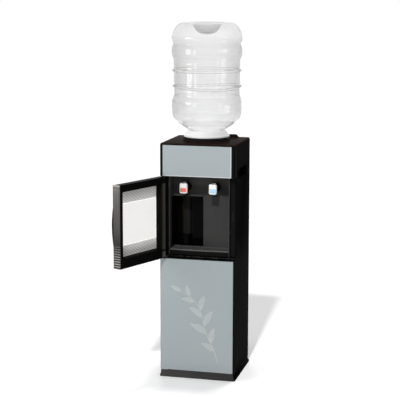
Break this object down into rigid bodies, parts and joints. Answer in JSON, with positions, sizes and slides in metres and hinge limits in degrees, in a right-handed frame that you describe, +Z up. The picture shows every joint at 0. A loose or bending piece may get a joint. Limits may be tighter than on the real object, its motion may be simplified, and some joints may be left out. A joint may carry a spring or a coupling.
{
  "type": "bottled water dispenser",
  "caption": "Free-standing black water dispenser with an inverted clear bottle, a tap alcove behind a windowed door, a drip tray and a storage cupboard.",
  "frame": {"origin": "on the floor under the middle of the cabinet", "axes": "+Z up, -Y out of the front, +X to the right of someone who faces the front"},
  "size_m": [0.4104, 0.5446, 1.3648],
  "materials": {
    "black_gloss": "glossy moulded black",
    "black_satin": "satin moulded black",
    "liner_grey": "satin charcoal",
    "side_paint": "black powder coat",
    "silver_glass": "glossy glass, silver behind",
    "window_glass": "clear glass with printed bands",
    "edge_silver": "dull silver grey",
    "white_plastic": "smooth white",
    "grey_plastic": "smooth grey",
    "foam": "closed-cell foam",
    "tube_silicone": "milky silicone",
    "red_plastic": "smooth red",
    "green_plastic": "smooth green",
    "steel": "plated steel",
    "stainless": "drawn stainless steel",
    "aluminium": "extruded",
    "bottle_clear": "clear blow-moulded"
  },
  "bodies": {
    "cabinet": {"base_plinth": "black_satin", "left_side_panel": "side_paint", "right_side_panel": "side_paint", "back_panel": "side_paint", "front_frame": "black_gloss", "upper_glass": "silver_glass", "top_cover": "black_gloss", "seat_collar": "black_gloss", "alcove_liner": "liner_grey", "niche_liner": "black_gloss", "mid_deck": "steel", "storage_liner": "black_satin", "storage_shelf": "grey_plastic", "door_magnet": "black_satin", "upper_hinge": "steel", "middle_hinge": "steel", "lower_hinge": "steel", "hot_tap_body": "black_satin", "hot_lever_pin": "steel", "hot_tap_nut": "white_plastic", "cold_tap_body": "black_satin", "cold_lever_pin": "steel", "cold_tap_nut": "white_plastic", "reservoir": "stainless", "reservoir_jacket": "foam", "cold_plate": "aluminium", "cooling_module": "white_plastic", "heat_sink": "aluminium", "fan_housing": "black_satin", "hot_tank": "stainless", "heater_base": "steel", "thermostat": "white_plastic", "tank_feed_pipe": "tube_silicone", "hot_outlet_pipe": "tube_silicone", "cold_outlet_pipe": "tube_silicone", "drain_pipe": "tube_silicone", "drain_spigot": "white_plastic", "power_board_box": "grey_plastic", "power_inlet": "black_satin", "switch_housing": "black_satin"},
    "tap_door": {"tap_door_frame": "black_gloss", "tap_door_glass": "window_glass", "tap_door_edge": "edge_silver", "tap_door_grip": "black_satin", "door_strike": "black_satin"},
    "storage_door": {"storage_door_frame": "black_gloss", "storage_door_glass": "silver_glass"},
    "hot_lever": {"hot_lever": "white_plastic"},
    "cold_lever": {"cold_lever": "white_plastic"},
    "seat": {"bottle_seat": "white_plastic", "feed_probe": "white_plastic"},
    "bottle": {"bottle": "bottle_clear", "bottle_cap": "white_plastic"},
    "tray": {"drip_tray": "liner_grey"},
    "grid": {"drip_grid": "liner_grey"},
    "heater_rocker": {"heater_switch": "red_plastic"},
    "cooler_rocker": {"cooler_switch": "green_plastic"},
    "fan": {"fan_rotor": "grey_plastic"},
    "cap": {"drain_cap": "black_satin"}
  },
  "joints": [
    {"name": "tap_door_hinge", "type": "hinge", "parent": "cabinet", "child": "tap_door", "pos_m": [-0.1352, -0.1279, 0.632], "axis": [0, 0, -1], "range_deg": [-113, 7]},
    {"name": "storage_door_hinge", "type": "hinge", "parent": "cabinet", "child": "storage_door", "pos_m": [-0.1352, -0.1279, 0.252], "axis": [0, 0, -1], "range_deg": [0, 105]},
    {"name": "hot_lever_press", "type": "hinge", "parent": "cabinet", "child": "hot_lever", "pos_m": [-0.06, -0.066, 0.7595], "axis": [1, 0, 0], "range_deg": [0, 10], "stiffness_Nm_per_rad": 0.6, "springref_deg": -9.74},
    {"name": "cold_lever_press", "type": "hinge", "parent": "cabinet", "child": "cold_lever", "pos_m": [0.055, -0.066, 0.7595], "axis": [1, 0, 0], "range_deg": [0, 10], "stiffness_Nm_per_rad": 0.6, "springref_deg": -9.74},
    {"name": "seat_lift", "type": "slide", "parent": "cabinet", "child": "seat", "axis": [0, 0, 1], "range_m": [0, 0.075]},
    {"name": "bottle_lift", "type": "slide", "parent": "seat", "child": "bottle", "axis": [0, 0, 1], "range_m": [0, 0.1]},
    {"name": "tray_slide", "type": "slide", "parent": "cabinet", "child": "tray", "axis": [0, -1, 0], "range_m": [0, 0.07]},
    {"name": "grid_lift", "type": "slide", "parent": "tray", "child": "grid", "axis": [0, 0, 1], "range_m": [0, 0.03]},
    {"name": "heater_rocker_tilt", "type": "hinge", "parent": "cabinet", "child": "heater_rocker", "pos_m": [-0.105, 0.1345, 0.5775], "axis": [1, 0, 0], "range_deg": [0, 18]},
    {"name": "cooler_rocker_tilt", "type": "hinge", "parent": "cabinet", "child": "cooler_rocker", "pos_m": [-0.083, 0.1345, 0.5775], "axis": [1, 0, 0], "range_deg": [0, 18]},
    {"name": "fan_spin", "type": "hinge", "parent": "cabinet", "child": "fan", "pos_m": [0, 0.1287, 0.85], "axis": [0, 1, 0], "continuous": true},
    {"name": "cap_off", "type": "slide", "parent": "cabinet", "child": "cap", "axis": [0, 1, 0], "range_m": [0, 0.03]}
  ]
}
